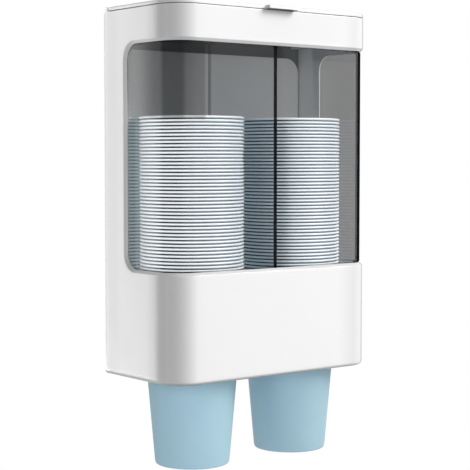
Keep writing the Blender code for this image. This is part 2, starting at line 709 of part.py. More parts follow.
clear_scene()
PARTS = collection("cup_dispenser")
CUTTERS = collection("cutters")
WHITE = finish("white_abs", (0.86, 0.86, 0.86), 0.28)
GREY = finish("grey_abs", (0.30, 0.30, 0.30), 0.45)
SMOKE = finish("smoked_acrylic", (0.10, 0.10, 0.11), 0.08, alpha=0.45)
SILICONE = finish("clear_silicone", (0.62, 0.64, 0.66), 0.50)
STEEL = finish("zinc_steel", (0.62, 0.62, 0.63), 0.32, metallic=1.0)
PAPER = finish("blue_paper", (0.46, 0.70, 0.82), 0.55)

make_front_cover()
make_back_plate()
make_window_pane()
make_partition()
make_outlet_deck()
make_screws()
make_lid()
for piece_side, piece_name in ((-1, "left"), (1, "right")):
    make_finger_gasket(piece_name, piece_side)
    make_clamp_ring(piece_name, piece_side)
    make_hinge_pin(piece_name, piece_side)
    make_hanging_cup(piece_name, piece_side)
    make_cup_stack(piece_name, piece_side)
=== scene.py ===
"""Looks of the twin-tube paper cup dispenser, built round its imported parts.

Metres, +Z up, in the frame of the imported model: the flat back lies on the wall at y = 0 and the front faces -Y.
"""

import json
import math

import bmesh
import bpy
import numpy as np
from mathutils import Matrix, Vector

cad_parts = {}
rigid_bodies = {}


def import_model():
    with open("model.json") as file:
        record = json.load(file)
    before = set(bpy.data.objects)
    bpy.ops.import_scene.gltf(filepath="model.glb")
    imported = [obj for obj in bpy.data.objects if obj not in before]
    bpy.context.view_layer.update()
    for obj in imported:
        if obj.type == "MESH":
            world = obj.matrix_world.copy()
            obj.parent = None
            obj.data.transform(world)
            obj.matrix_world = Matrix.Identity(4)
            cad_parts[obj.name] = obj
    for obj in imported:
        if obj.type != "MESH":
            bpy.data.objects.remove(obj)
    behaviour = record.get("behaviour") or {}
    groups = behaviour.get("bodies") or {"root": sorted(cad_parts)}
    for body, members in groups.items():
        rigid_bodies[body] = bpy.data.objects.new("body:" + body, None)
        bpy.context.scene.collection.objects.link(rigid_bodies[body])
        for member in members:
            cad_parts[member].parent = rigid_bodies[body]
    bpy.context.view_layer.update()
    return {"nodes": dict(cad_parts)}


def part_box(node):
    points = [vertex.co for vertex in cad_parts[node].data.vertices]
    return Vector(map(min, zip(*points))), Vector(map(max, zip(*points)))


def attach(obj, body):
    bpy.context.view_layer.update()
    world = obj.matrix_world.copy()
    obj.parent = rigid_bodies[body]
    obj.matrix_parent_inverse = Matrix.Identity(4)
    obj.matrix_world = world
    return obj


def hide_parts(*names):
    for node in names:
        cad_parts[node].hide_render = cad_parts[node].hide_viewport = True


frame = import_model()

# Sizes of the solids that the pieces are fitted to, and of the details that only the pieces have
cover_low, cover_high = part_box("front_cover")
pane_low, pane_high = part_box("window_pane")
cup_low, cup_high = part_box("left_hanging_cup")

HALF_WIDTH = cover_high.x
DEPTH = -cover_low.y
FLOOR_Z = cover_low.z
CORNER = 0.0200
FLAT_X = HALF_WIDTH - CORNER
FLAT_Y = DEPTH - CORNER
WALL = 0.0028
GAP = 0.0003
SEAM_Z = FLOOR_Z + 0.2535
FOOT_DROP = 0.0027
FOOT_ROUND = 0.0026
EDGE_ROUND = 0.0004
SMALL_ROUND = 0.0003
TINY_ROUND = 0.0002
FINE_ROUND = 0.0001
# How far a piece reaches into the one it stands on, and how far it keeps behind the surface it lies in
OVERLAP = 0.0005
SKIN = 0.00002
SHARP = math.radians(35)
HANDS = ((-1, "left"), (1, "right"))

# Window: the opening, its flared edge and the pane behind it
WINDOW_REAR = 0.0243
WINDOW_LOW = FLOOR_Z + 0.0717
WINDOW_HIGH = WINDOW_LOW + 0.1595
WINDOW_CORNER = 0.0130
FLARE = 0.0020
PANE_PLAY = 0.0002
PANE_RAISED = 0.0011
PANE_THICK = 0.0014
PANE_OVER = 0.0050

# Cups: the axes of the stacks, the rims and the nesting
AXIS_X = -(cup_high.x + cup_low.x) / 2
OUTLET_X = -AXIS_X
OUTLET_Y = (cup_high.y + cup_low.y) / 2
RIM_RADIUS = (cup_high.x - cup_low.x) / 2
RIM_Z = cup_high.z
CUP_BASE = 0.0264
CUP_WALL = 0.0006
CUP_HEIGHT = cup_high.z - cup_low.z
PITCH = 0.00243
CUPS = 61
ROLL_WIDTH = 0.0022
ROLL_HEIGHT = 0.0021
ROLL_SHOWN = 0.00150
RIM_POINTS = 19
WALL_POINTS = 12
TOP_CUP_FLOOR = 0.0061
LAP_HEIGHT = 0.00035
LAP_ANGLE = math.radians(80)
# The rims behind the window lie lower than the solid's, by SETTLED and by STRETCH per metre below the top
SETTLED = 0.0007
STRETCH = 0.0065
SOLID_STACK_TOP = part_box("left_cup_stack")[1].z
STACK_TOP = SOLID_STACK_TOP - SETTLED

# Deck, posts, bosses, pads, rails and screws; a screw is its radius, its head's radius and height, and its length
OUTLET_RADIUS = RIM_RADIUS + 0.0009
SKIRT_RADIUS = OUTLET_RADIUS + 0.0014
GASKET = 0.0012
DECK_TOP = RIM_Z - ROLL_HEIGHT - GAP - GASKET - GAP
DECK_LOW = DECK_TOP - 0.0024
BOSS = 0.0042
BOSS_LEVELS = (("low", FLOOR_Z + 0.0520), ("high", SEAM_Z - 0.0140))
BOSS_FRONT = -0.0122
PLATE_THICK = 0.0024
BEFORE_PLATE = -(PLATE_THICK + GAP)
POST_RADIUS = 0.0036
PAD_RADIUS = 0.0030
SCREW_HEAD = 0.0012
LARGE_SCREW = (0.0013, 0.0028, SCREW_HEAD, 0.0078)
SMALL_SCREW = (0.0010, 0.0022, SCREW_HEAD, 0.0058)
PARTITION_HALF = 0.0015
RAIL_WALL = 0.0012
RAIL_HEIGHT = 0.0030
RAIL_HALF = 0.0240

# Lid, its tab, its lip and its hinge
LID_LOW = SEAM_Z + 0.0004
LID_TOP = LID_LOW + 0.0026
LID_ROUND = 0.0010
LID_REAR = 0.0070
TAB_HALF = 0.01325
TAB_FRONT = -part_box("lid")[0].y
TAB_CORNER = 0.0011
HINGE_Y = -0.0034
HINGE_Z = SEAM_Z
KNUCKLE_RADIUS = 0.0029
CHEEK_RADIUS = 0.0031
KNUCKLE_HALF = 0.0877
LIP_REAR = 0.0140
LIP_LOW = SEAM_Z - 0.0036
LIP_WALL = 0.0014
LIP_PLAY = 0.0005

# Floor, light, room and camera; FILL is the even light from all round, BEHIND_PANES what the panes leave of white
FLOOR_LEVEL = -1.05
FLOOR_REACH = 1.3
FLOOR_FADE = (0.7, 1.25)
FLOOR_GREYS = ((0.80, 0.80, 0.80), (0.83, 0.83, 0.83))
WARM_LIGHT = (1.0, 0.98, 0.90)
COOL_LIGHT = (0.86, 0.95, 1.0)
BLUE_LIGHT = (0.52, 0.83, 1.0)
AIM = (0.0, -0.05, 0.0)
FRONT_PLACE = (1.42, -1.46, 1.38)
CUP_PLACE = (-1.27, -1.45, 0.15)
FILL = 0.455
BEHIND_PANES = 0.21
LEVEL_BAND = 0.10
LEVEL_FADE = 12.0
UPPER_FILL = 0.2
LENS = 105.16
CAMERA_PLACE = (-0.6205, -0.82285, 0.02337)
CAMERA_TILT = 90 - 3.16375
CAMERA_TURN = -38.17648

# Colours and shares of the finishes
MIRROR = 0.004
SCREEN_VEIL = 0.05
FLAT_SLANT = 0.3
PANEL_TOP = 0.1015
PANEL_SIDE = 0.0875
PANEL_CORNER = 0.0120
PANEL_GREY = (0.66, 0.645, 0.63)
PANEL_BORDER = (0.070, 0.071, 0.073)
# Dark and light of the painted reflection of the rims on the back panel
PAINTED_RIM_REFLECTION = ((0.01, 0.05, 0.06), (0.42, 0.57, 0.62))
# Painted shade between nested rims: where some light reaches the wall, and where none does
PAINTED_SHADE_BETWEEN_RIMS = ((0.395, 0.445, 0.475), (0.010, 0.016, 0.020))
WHITES = ((0.802, 0.802, 0.801), (0.822, 0.822, 0.821))
WHITE_IN_SHADE = (0.02, 0.02, 0.022)
# Painted shade of the window's bent corners, and of its left bend above the stacks
BEND_SHADE = 0.05
BAND_SHADE = 0.36
SIDE_VEIL = 0.73

# How far painted shade turns the white grey at its places, from 0 to 1
LEFT_CORNER_SHADE = 0.075
TANGENT_SHADE = 0.13
STREAK_SHADE = 0.07
HEADER_SHADE = 0.045
RIGHT_CORNER_SHADE = 0.22
WINDOW_EDGE_SHADE = 0.55
FOOT_SHADE = 0.58
SILL_SHADE = 0.34
TAB_UNDER_SHADE = 0.93
TAB_SIDE_SHADE = 0.38
LID_EDGE_SHADE = 0.70
REAR_EDGE_SHADE = 0.80
OUTLINE_SHADE = 0.80

# Distances along the housing's plan at which its flats and arcs meet, from the left rear to the right rear
QUARTER = CORNER * math.pi / 2
RUN_MARKS = np.cumsum([0.0, FLAT_Y, QUARTER, 2 * FLAT_X, QUARTER, FLAT_Y])
RUN = RUN_MARKS[-1]


# ---- shapes ----

def turns(steps):
    """Angles that share a full turn evenly."""
    return np.arange(steps) * 2 * math.pi / steps


def middle(name):
    """The middle of a solid's box."""
    low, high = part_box(name)
    return [(a + b) / 2 for a, b in zip(low, high)]


def placed(name, data):
    """A new object of the scene."""
    made = bpy.data.objects.new(name, data)
    bpy.context.scene.collection.objects.link(made)
    return made


def plan(run, inset):
    """Housing plan as x, y: a point at distance run from the left rear, round both front corners.

    The arcs' centre line is followed, and CORNER - inset is added along the outward normal, whose angle
    goes from pi on the left side to two pi on the right side.
    """
    turn = np.clip((run - RUN_MARKS[1]) / QUARTER, 0, 1) + np.clip((run - RUN_MARKS[3]) / QUARTER, 0, 1)
    angle = math.pi * (1 + turn / 2)
    x = np.clip(run - RUN_MARKS[2], 0, RUN_MARKS[3] - RUN_MARKS[2]) - FLAT_X
    y = np.clip(run - RUN_MARKS[4], 0, None) - np.clip(run, 0, RUN_MARKS[1])
    reach = CORNER - inset
    return x + reach * np.cos(angle), y + reach * np.sin(angle)


def run_samples(start, end, arc_steps=24, flat_steps=6):
    """Distances along the plan, close together on the arcs and wide apart on the flats."""
    marks = [start, *[m for m in RUN_MARKS if start < m < end], end]
    parts = []
    for low, high in zip(marks, marks[1:]):
        on_arc = any(abs(low - RUN_MARKS[i]) < 1e-9 and high - low > QUARTER - 1e-6 for i in (1, 3))
        parts.append(np.linspace(low, high, (arc_steps if on_arc else flat_steps) + 1)[:-1])
    return np.concatenate([*parts, [end]])


def quads(rows, columns, wrap_rows=False, wrap_columns=True, start=0):
    """Faces between neighbours of a grid of points; a wrapped side joins its last line to its first."""
    i = np.arange(rows if wrap_rows else rows - 1)
    j = np.arange(columns if wrap_columns else columns - 1)
    a, b = np.meshgrid(i, j, indexing="ij")
    c, d = (a + 1) % rows, (b + 1) % columns
    faces = np.stack([a * columns + b, a * columns + d, c * columns + d, c * columns + b], -1)
    return faces.reshape(-1, 4) + start


class Shape:
    """Grids of points that become one closed mesh."""

    def __init__(self):
        self.points, self.faces, self.marks, self.count = [], [], [], 0

    def grid(self, points, wrap_rows=False, wrap_columns=True, mark=0.0):
        """Adds a rows x columns x 3 array; mark is a value per point, kept as the attribute 'part'."""
        rows, columns = points.shape[:2]
        self.faces += quads(rows, columns, wrap_rows, wrap_columns, self.count).tolist()
        self.points.append(points.reshape(-1, 3))
        self.marks.append(np.broadcast_to(mark, (rows, columns)).ravel())
        self.count += rows * columns
        return self

    def cap(self, ring):
        """Closes a flat ring of points with one face."""
        self.faces.append(list(range(self.count, self.count + len(ring))))
        self.points.append(ring)
        self.marks.append(np.zeros(len(ring)))
        self.count += len(ring)
        return self

    def block(self, rows, mark=0.0):
        """Adds rings of points and closes the first and the last."""
        return self.grid(rows, mark=mark).cap(rows[0]).cap(rows[-1])

    def piece(self, name, finish, body, slot, nodes=()):
        """Makes the object, merges its seams and poles, turns its faces outwards and lets it ride on a body."""
        mesh = bpy.data.meshes.new(name)
        mesh.from_pydata(np.concatenate(self.points), [], self.faces)
        mark = mesh.attributes.new("part", "FLOAT", "POINT")
        mark.data.foreach_set("value", np.concatenate(self.marks).astype(np.float32))
        work = bmesh.new()
        work.from_mesh(mesh)
        bmesh.ops.remove_doubles(work, verts=work.verts, dist=2e-6)
        bmesh.ops.recalc_face_normals(work, faces=work.faces)
        work.to_mesh(mesh)
        work.free()
        mesh.shade_smooth()
        mesh.set_sharp_from_angle(angle=SHARP)
        mesh.materials.append(finish)
        made = placed(name, mesh)
        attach(made, body)
        if nodes:
            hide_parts(*nodes)
        return made

    def white(self, name, nodes=(), body="root"):
        """Makes a piece of the white plastic."""
        return self.piece(name, WHITE, body, "white_abs", nodes)


def spin(profile, centre, steps):
    """A profile of (radius, height) turned round a vertical axis: x = radius cos a, y = radius sin a."""
    angle = turns(steps)
    x = centre[0] + profile[:, :1] * np.cos(angle)
    y = centre[1] + profile[:, :1] * np.sin(angle)
    return np.stack([x, y, np.broadcast_to(profile[:, 1:2], x.shape)], -1)


def rounded_loop(low, high, radius):
    """A rectangle with round corners as points (a, b), counterclockwise from its right side."""
    (a0, b0), (a1, b1) = low, high
    centres = np.array([(a1 - radius, b1 - radius), (a0 + radius, b1 - radius),
                        (a0 + radius, b0 + radius), (a1 - radius, b0 + radius)])
    turn = np.linspace(0, math.pi / 2, 5)[None, :] + np.arange(4)[:, None] * math.pi / 2
    ring = centres[:, None, :] + radius * np.stack([np.cos(turn), np.sin(turn)], -1)
    return ring.reshape(-1, 2)


def window_sheet():
    """The window sheet, whose field stands forward of its border to fill the opening.

    The sheet is a grid of (run, z). Its inset is that of the border less PANE_RAISED times a smooth step, which
    goes from 0 at the field's edge to 1 a little inside it; the edge is a rectangle with round corners, and
    the distance to it is worked out per point. A strip along each of its four edges joins outside and inside.
    """
    margin = FLARE + PANE_PLAY
    corner = WINDOW_CORNER - margin
    field_run = (WINDOW_REAR + margin, RUN - WINDOW_REAR - margin)
    field_z = (WINDOW_LOW + margin, WINDOW_HIGH - margin)
    step = 0.0006

    def spread(samples, span):
        """The samples, and more points gathered round the field's edges and corners."""
        turn = np.linspace(0, corner, 9)
        near = [p + d for p in (*(span[0] + turn), *(span[1] - turn)) for d in np.linspace(-1.5, 1.5, 7) * step]
        return np.unique(np.round([*samples, *[v for v in near if samples[0] < v < samples[-1]]], 7))

    runs = spread(run_samples(WINDOW_REAR - PANE_OVER, RUN - WINDOW_REAR + PANE_OVER, 32, 12), field_run)
    levels = spread(np.linspace(pane_low.z, pane_high.z, 16), field_z)
    run, z = np.meshgrid(runs, levels)
    away = [np.abs(v - sum(span) / 2) - (span[1] - span[0]) / 2 + corner
            for v, span in ((run, field_run), (z, field_z))]
    outside = np.hypot(*[np.maximum(a, 0) for a in away]) + np.minimum(np.maximum(*away), 0) - corner
    rise = np.clip(-outside / step, 0, 1)
    forward = PANE_RAISED * rise * rise * (3 - 2 * rise)
    faces = []
    for inset in (WALL + GAP - forward, WALL + GAP + PANE_THICK - forward):
        x, y = plan(run, inset)
        faces.append(np.stack([x, y, z], -1))
    shape = Shape()
    faces = np.array(faces)
    for grid in (faces[0], faces[1], faces[:, 0], faces[:, -1], faces[:, :, 0], faces[:, :, -1]):
        shape.grid(grid, wrap_columns=False)
    return shape


def swept_strip(start, end, inset, thickness, low, high, radius):
    """A strip that follows the plan: a round-cornered section of (inset, z) carried along the run."""
    section = rounded_loop((inset, low), (inset + thickness, high), radius)
    runs = run_samples(start, end)
    x, y = plan(runs[:, None], section[None, :, 0])
    points = np.stack([x, y, np.broadcast_to(section[:, 1], x.shape)], -1)
    return Shape().block(points)


def extruded(loop, low, high, axis, radius):
    """A flat loop carried along an axis, its ends drawn in by (1 - sin) and (1 - cos) of a round edge.

    Along X the loop is (y, z), along Y it is (x, z) and along Z it is (x, y). The loop is drawn in
    towards its own middle, so it suits small round or boxy loops.
    """
    centre = (loop.max(0) + loop.min(0)) / 2
    half = (loop.max(0) - loop.min(0)) / 2
    turn = np.linspace(0, math.pi / 2, 4)
    shrink = radius * (1 - np.sin(turn))
    along = radius * (1 - np.cos(turn))
    rows = []
    for level, inward in [*zip(low + along, shrink), *zip(high - along[::-1], shrink[::-1])]:
        ring = centre + (loop - centre) * (1 - inward / half)
        rows.append(np.insert(ring, "XYZ".index(axis), level, axis=1))
    return np.array(rows)


def circle(centre, radius, steps=32):
    """Points of a circle, counterclockwise."""
    angle = turns(steps)
    return np.stack([centre[0] + radius * np.cos(angle), centre[1] + radius * np.sin(angle)], -1)


# ---- shader sums ----

class Value:
    """A number that changes over a surface; a sum written with it adds the nodes that work it out."""

    def __init__(self, made, socket):
        self.made, self.socket = made, socket

    def calc(self, operation, *terms):
        return self.made.value(self.made.node("Math", dict(enumerate(terms)), operation=operation).outputs[0])

    def __add__(self, other):
        return self.calc("ADD", self, other)

    def __sub__(self, other):
        return self.calc("SUBTRACT", self, other)

    def __rsub__(self, other):
        return self.calc("SUBTRACT", other, self)

    def __mul__(self, other):
        return self.calc("MULTIPLY", self, other)

    def __truediv__(self, other):
        return self.calc("DIVIDE", self, other)

    def __pow__(self, other):
        return self.calc("POWER", self, other)

    def __neg__(self):
        return self.calc("SUBTRACT", 0.0, self)

    def __abs__(self):
        return self.calc("ABSOLUTE", self)

    def least(self, other):
        return self.calc("MINIMUM", self, other)

    def most(self, other):
        return self.calc("MAXIMUM", self, other)

    def wave(self):
        return self.calc("SINE", self)

    __radd__, __rmul__ = __add__, __mul__


class Nodes:
    """A tree of nodes and what adds to it."""

    def __init__(self, tree):
        self.tree = tree

    def feed(self, node, sockets):
        """Gives the node's sockets, by name or number, a link or a plain value each."""
        for name, value in sockets.items():
            place = node.inputs[name if isinstance(name, int) else name.replace("_", " ")]
            if isinstance(value, Value):
                self.tree.links.new(value.socket, place)
            elif isinstance(value, bpy.types.NodeSocket):
                self.tree.links.new(value, place)
            elif place.type == "RGBA" and len(value) == 3:
                place.default_value = (*value, 1.0)
            else:
                place.default_value = value
        return node

    def node(self, kind, sockets=(), **settings):
        """A node of any kind: its settings first, then the values or links of its sockets."""
        made = self.tree.nodes.new("ShaderNode" + kind)
        for name, value in settings.items():
            setattr(made, name, value)
        return self.feed(made, dict(sockets))

    def value(self, socket):
        return Value(self, socket)


class Finish(Nodes):
    """A material made of one Principled shader and whatever feeds it."""

    def __init__(self, name, **sockets):
        self.material = bpy.data.materials.new(name)
        self.material.use_nodes = True
        super().__init__(self.material.node_tree)
        self.shader = self.tree.nodes["Principled BSDF"]
        self.surface(**sockets)

    def surface(self, **sockets):
        """Feeds the Principled shader."""
        self.feed(self.shader, sockets)

    def where(self):
        """Object coordinates, as a vector socket."""
        return self.node("TexCoord").outputs["Object"]

    def axes(self):
        """The object coordinates x, y and z."""
        split = self.node("SeparateXYZ", {"Vector": self.where()})
        return [self.value(s) for s in split.outputs]

    def noise(self, size, detail=3.0, stretch=(1.0, 1.0, 1.0)):
        """Noise from 0 to 1 whose lumps are about size across, drawn out along an axis by stretch."""
        spread = self.node("Mapping", {"Vector": self.where(), "Scale": tuple(1 / s for s in stretch)})
        made = self.node("TexNoise", {"Vector": spread.outputs[0], "Scale": 1 / size, "Detail": detail})
        return self.value(made.outputs[0])

    def slant(self):
        """0 where the eye looks straight at the surface, 1 along it."""
        return self.value(self.node("LayerWeight", {"Blend": 0.5}).outputs["Facing"])

    def part(self):
        """The mark that a shape's points carry."""
        made = self.node("Attribute", attribute_name="part")
        return self.value(made.outputs["Fac"])

    def ease(self, value, low, high):
        """0 below low, 1 above high, and a smooth step between."""
        made = self.node("MapRange", {"Value": value, "From Min": low, "From Max": high},
                         interpolation_type="SMOOTHSTEP")
        return self.value(made.outputs[0])

    def blend(self, share, first, second):
        """A colour between two colours."""
        made = self.node("Mix", {0: share, 6: first, 7: second}, data_type="RGBA")
        return made.outputs[2]

    def bump(self, height, distance):
        """Feeds the Normal with a height from 0 to 1 that stands for this many metres."""
        made = self.node("Bump", {"Height": height, "Distance": distance, "Strength": 1.0})
        self.surface(Normal=made.outputs[0])


# ---- finishes ----

def white_abs():
    """Glossy moulded plastic with a faint ripple of the mould and softer patches left by hands.

    It is greyed by painted shade at the front corners, on the left side behind its corner, in a streak at the left
    rear, on the header's right part and where it is seen at a slant. Where a shape is marked (part up to 1), such as
    its foot, sill, window edge, rear edges, tab and lid edge, painted shade makes it greyer still.
    """
    made = Finish("white_abs", IOR=1.50)
    x, y, z = made.axes()
    to_left, to_front = -x, -y
    # Painted shade: grey at both front corners and on the left side just behind its corner, towards the front only
    left = made.ease(to_left, FLAT_X - 0.008, HALF_WIDTH - 0.004) * LEFT_CORNER_SHADE
    left = left + made.ease(to_left, HALF_WIDTH - 0.0022, HALF_WIDTH - 0.0002) * TANGENT_SHADE
    right = made.ease(x, FLAT_X - 0.020, HALF_WIDTH - 0.004) * RIGHT_CORNER_SHADE
    upright = made.ease(to_front, FLAT_Y - 0.015, FLAT_Y - 0.001) * made.ease(LID_TOP - z, 0.0001, 0.0006)
    # Painted shade in a streak near the left rear
    streak = made.ease(to_front, 0.003, 0.006) * (1 - made.ease(to_front, 0.011, 0.022))
    streak = streak * made.ease(to_left, 0.05, 0.09) * STREAK_SHADE
    # Painted shade on the header's right part, between the window's top and the seam
    header = made.ease(z, WINDOW_HIGH, WINDOW_HIGH + 0.004) * made.ease(SEAM_Z - z, 0.0, 0.0002)
    header = header * made.ease(x, -0.060, 0.0) * HEADER_SHADE
    # Painted shade where the white is seen at a slant, greying its outline
    facing = made.slant()
    outline = made.ease(facing, 0.58, 0.88) * OUTLINE_SHADE
    # All the painted shade above, and the shapes' marks, grey the white towards WHITE_IN_SHADE
    grey = ((left + right) * upright).most(made.part()).most(outline).most(streak).most(header)
    ripple = made.noise(0.0034, 2.0)
    grain = made.noise(0.0004, 2.0)
    smudge = made.noise(0.030, 4.0)
    made.surface(
        Base_Color=made.blend(grey, made.blend(smudge, *WHITES), WHITE_IN_SHADE),
        Roughness=0.11 + made.ease(smudge, 0.45, 0.75) * 0.05 + grain * 0.02,
    )
    made.bump(ripple * 0.7 + grain * 0.3, 0.000006)
    return made.material


def grey_abs():
    """Satin grey plastic under a clear skin: a lighter panel with round corners in a dark border.

    The panel is darker behind the left stack by painted shade, and carries a painted reflection of the rims as dim
    stripes left of it. The rear face is dark.
    """
    made = Finish("grey_abs", IOR=1.50, Coat_Weight=1.0, Coat_Roughness=0.05, Coat_IOR=1.8)
    grain = made.noise(0.0007)
    cloud = made.noise(0.045)
    x, y, z = made.axes()
    over_x = (abs(x) - (PANEL_SIDE - PANEL_CORNER)).most(0.0)
    over_z = (z - (PANEL_TOP - PANEL_CORNER)).most(0.0)
    outside = made.ease((over_x * over_x + over_z * over_z) ** 0.5, PANEL_CORNER - 0.0004, PANEL_CORNER + 0.0004)
    rear = made.ease(y, -PLATE_THICK, -PLATE_THICK + 0.0003)
    outside = (outside * (1 - rear)).most(rear * 0.8)
    to_left = -x
    # Painted shade: the panel darkens towards black behind the left stack
    beside_stack = made.ease(to_left, 0.004, 0.030) * (1 - rear) * 0.40
    panel = made.blend(cloud, PANEL_GREY, tuple(c * 1.04 for c in PANEL_GREY))
    panel = made.blend(beside_stack, panel, (0.0, 0.0, 0.0))
    # Painted reflection of the rims: dim stripes at their pitch on the panel's left part, below the stacks' top
    painted_reflection = made.ease(to_left, 0.052, 0.060) * (1 - made.ease(z, STACK_TOP, STACK_TOP + 0.001)) * (1 - rear)
    first = SOLID_STACK_TOP - ROLL_HEIGHT / 2 - PITCH / 4
    stripes = ((z - first) * (2 * math.pi / PITCH)).wave() * 0.5 + 0.5
    panel = made.blend(painted_reflection, panel, made.blend(stripes, *PAINTED_RIM_REFLECTION))
    made.surface(
        Base_Color=made.blend(outside, panel, PANEL_BORDER),
        Coat_Weight=1 - outside * 0.7,
        Roughness=0.36 + grain * 0.14,
    )
    made.bump(grain, 0.00001)
    return made.material


def smoked_sheet(name, passed, shade, veil, slant_shade, shadow=0.0):
    """Smoked sheet: tinted light passes, dark where shade is 1, and a mirror of strength veil that grows at a slant.

    Near its outline it darkens by slant_shade. These three are worked out from the finish by a function each.
    The share shadow of the light that would pass on to other pieces is held back.
    """
    made = Finish(name)
    facing = made.slant()
    slant = made.ease(facing, 0.50, 0.58) * slant_shade(made)
    lamp_light = made.value(made.node("LightPath").outputs["Is Shadow Ray"])
    dark_share = slant.most(shade(made)).most(lamp_light * shadow) + made.noise(0.020, 4.0) * 0.01
    mirror = (facing * facing * veil(made) + MIRROR) * (1 - slant)
    gloss = made.node("BsdfAnisotropic", {"Color": (1.0, 1.0, 1.0), "Roughness": 0.03})
    tint = made.node("BsdfTransparent", {"Color": passed})
    dark = made.node("BsdfDiffuse", {"Color": (0.004, 0.004, 0.005)})
    sheet = made.node("MixShader", {0: dark_share, 1: tint.outputs[0], 2: dark.outputs[0]})
    skin = made.node("MixShader", {0: mirror, 1: sheet.outputs[0], 2: gloss.outputs[0]})
    made.feed(made.tree.nodes["Material Output"], {"Surface": skin.outputs[0]})
    made.tree.nodes.remove(made.shader)
    return made.material


def above_cups(made, z):
    """1 above the stacks, 0 from a little below their tops downwards."""
    return made.ease(z, STACK_TOP - 0.0045, STACK_TOP - 0.0015)


def left_band(made, x, y):
    """1 at the left bend, about half beside it, fading out along the side and along the front."""
    outer, inner = 0.58, 0.42
    to_left, to_front = -x, -y
    along_side = made.ease(to_front, 0.036, 0.064) * outer + made.ease(to_front, 0.0645, 0.0690) * inner
    along_front = made.ease(to_left, 0.0615, 0.0650) * outer + made.ease(to_left, 0.0775, 0.0808) * inner
    return along_side.least(along_front)


def bend_shade(made):
    """The bent corners of the window look darker by painted shade, and most of all the left one above the stacks.

    run and rise go from 0 to 1 round a bend: run from its front end to its side end, rise the other way.
    """
    x, y, z = made.axes()
    radius = CORNER - WALL - GAP
    run = (abs(x) - FLAT_X) / radius
    rise = (-y - FLAT_Y) / radius
    side_part = made.ease(rise, 0.02, 0.16) * (1 - made.ease(rise, 0.76, 0.90) * 0.55)
    bend = side_part * made.ease(run, 0.02, 0.16) * BEND_SHADE
    return bend.most(above_cups(made, z) * left_band(made, x, y) * BAND_SHADE)


def pane_veil(made):
    """The window mirrors its surroundings, less so towards the front and beside the left stack.

    It doesn't at its left bend and on the line where the partition is bonded to it.
    """
    x, y, z = made.axes()
    to_left, to_front = -x, -y
    bend = made.ease(to_front, FLAT_Y - 0.006, FLAT_Y + 0.004) * made.ease(to_left, FLAT_X - 0.002, FLAT_X + 0.010)
    above = above_cups(made, z)
    bend = bend * (1 - above) + left_band(made, x, y) * above
    beside_stack = (1 - above) * (1 - made.ease(to_front, 0.0345, 0.0375)) * made.ease(to_left, 0.0, 0.01) * 0.48
    less = (made.ease(to_front, 0.022, 0.062) * 0.38).most(beside_stack)
    return made.ease(abs(x), 0.0034, 0.0040) * (SIDE_VEIL - less) * (1 - bend)


def pane_slant(made):
    """At a slant the bent corners turn black, the flat faces a little darker."""
    x, y, z = made.axes()
    bend = made.ease(-y, FLAT_Y, FLAT_Y + 0.006) * made.ease(abs(x), FLAT_X, FLAT_X + 0.006)
    return bend * (1.0 - FLAT_SLANT) + FLAT_SLANT


def edge_shade(made):
    """The polished front edge of the partition is nearly black and its rear edge a third as dark."""
    x, y, z = made.axes()
    front = made.ease(-y, DEPTH - 0.0052, DEPTH - 0.0048)
    return (front * 0.97).most(made.ease(y, -0.0030, -0.0028) * 0.30)


def silicone():
    """Soft translucent rubber with a powdery surface."""
    made = Finish("silicone", IOR=1.41, Subsurface_Weight=0.3, Subsurface_Radius=(0.002, 0.002, 0.002),
                  Subsurface_Scale=1.0)
    powder = made.noise(0.0009)
    made.surface(
        Base_Color=made.blend(powder, (0.58, 0.60, 0.62), (0.66, 0.68, 0.70)),
        Roughness=0.45 + powder * 0.2,
    )
    made.bump(powder, 0.00001)
    return made.material


def zinc_steel():
    """Zinc-plated steel with a fine turned grain."""
    made = Finish("zinc_steel", Metallic=1.0)
    grain = made.noise(0.0003)
    cloud = made.noise(0.0020, 2.0)
    made.surface(
        Base_Color=made.blend(cloud, (0.60, 0.61, 0.62), (0.72, 0.72, 0.71)),
        Roughness=0.24 + grain * 0.16,
    )
    made.bump(grain, 0.000006)
    return made.material


def cup_paper(name, blue, pale):
    """Coated paper board, dyed light blue: short fibres, a soft sheen and a paler, glazed rolled rim (part = 1).

    Between nested rims (part from -0.2 to -1) the wall lies deep, so it is drawn the darker the less light gets there.
    """
    made = Finish(name, IOR=1.25, Coat_Roughness=0.25, Coat_IOR=1.7)
    fibre = made.noise(0.0005, 4.0, (1.0, 1.0, 4.0))
    mottle = made.noise(0.009)
    rim = made.part().most(0.0)
    deep = (-made.part()).most(0.0)
    body = made.blend(mottle, blue, tuple(min(1.0, c * 1.05) for c in blue))
    gap = made.blend(deep, *PAINTED_SHADE_BETWEEN_RIMS)
    made.surface(
        Base_Color=made.blend((deep * 5.0).least(1.0), made.blend(rim, body, pale), gap),
        Roughness=0.50 + fibre * 0.12 - rim * 0.14,
        Coat_Weight=rim * 0.8,
        Metallic=0.15 - rim * 0.15,
    )
    made.bump(fibre, 0.000008)
    return made.material


WHITE = white_abs()
GREY = grey_abs()
PANE = smoked_sheet("smoked_window", (0.985, 0.986, 0.988), bend_shade, pane_veil, pane_slant)
SCREEN = smoked_sheet("smoked_screen", (0.93, 0.94, 0.95), edge_shade, lambda made: SCREEN_VEIL,
                      lambda made: FLAT_SLANT, 0.75)
SILICONE = silicone()
STEEL = zinc_steel()
HANGING_PAPER = cup_paper("blue_cup_board", (0.36, 0.53, 0.625), (0.64, 0.80, 0.90))
STACK_PAPER = cup_paper("stacked_cup_board", (0.24, 0.39, 0.47), (0.805, 0.83, 0.85))


# ---- surfaces of the pieces ----

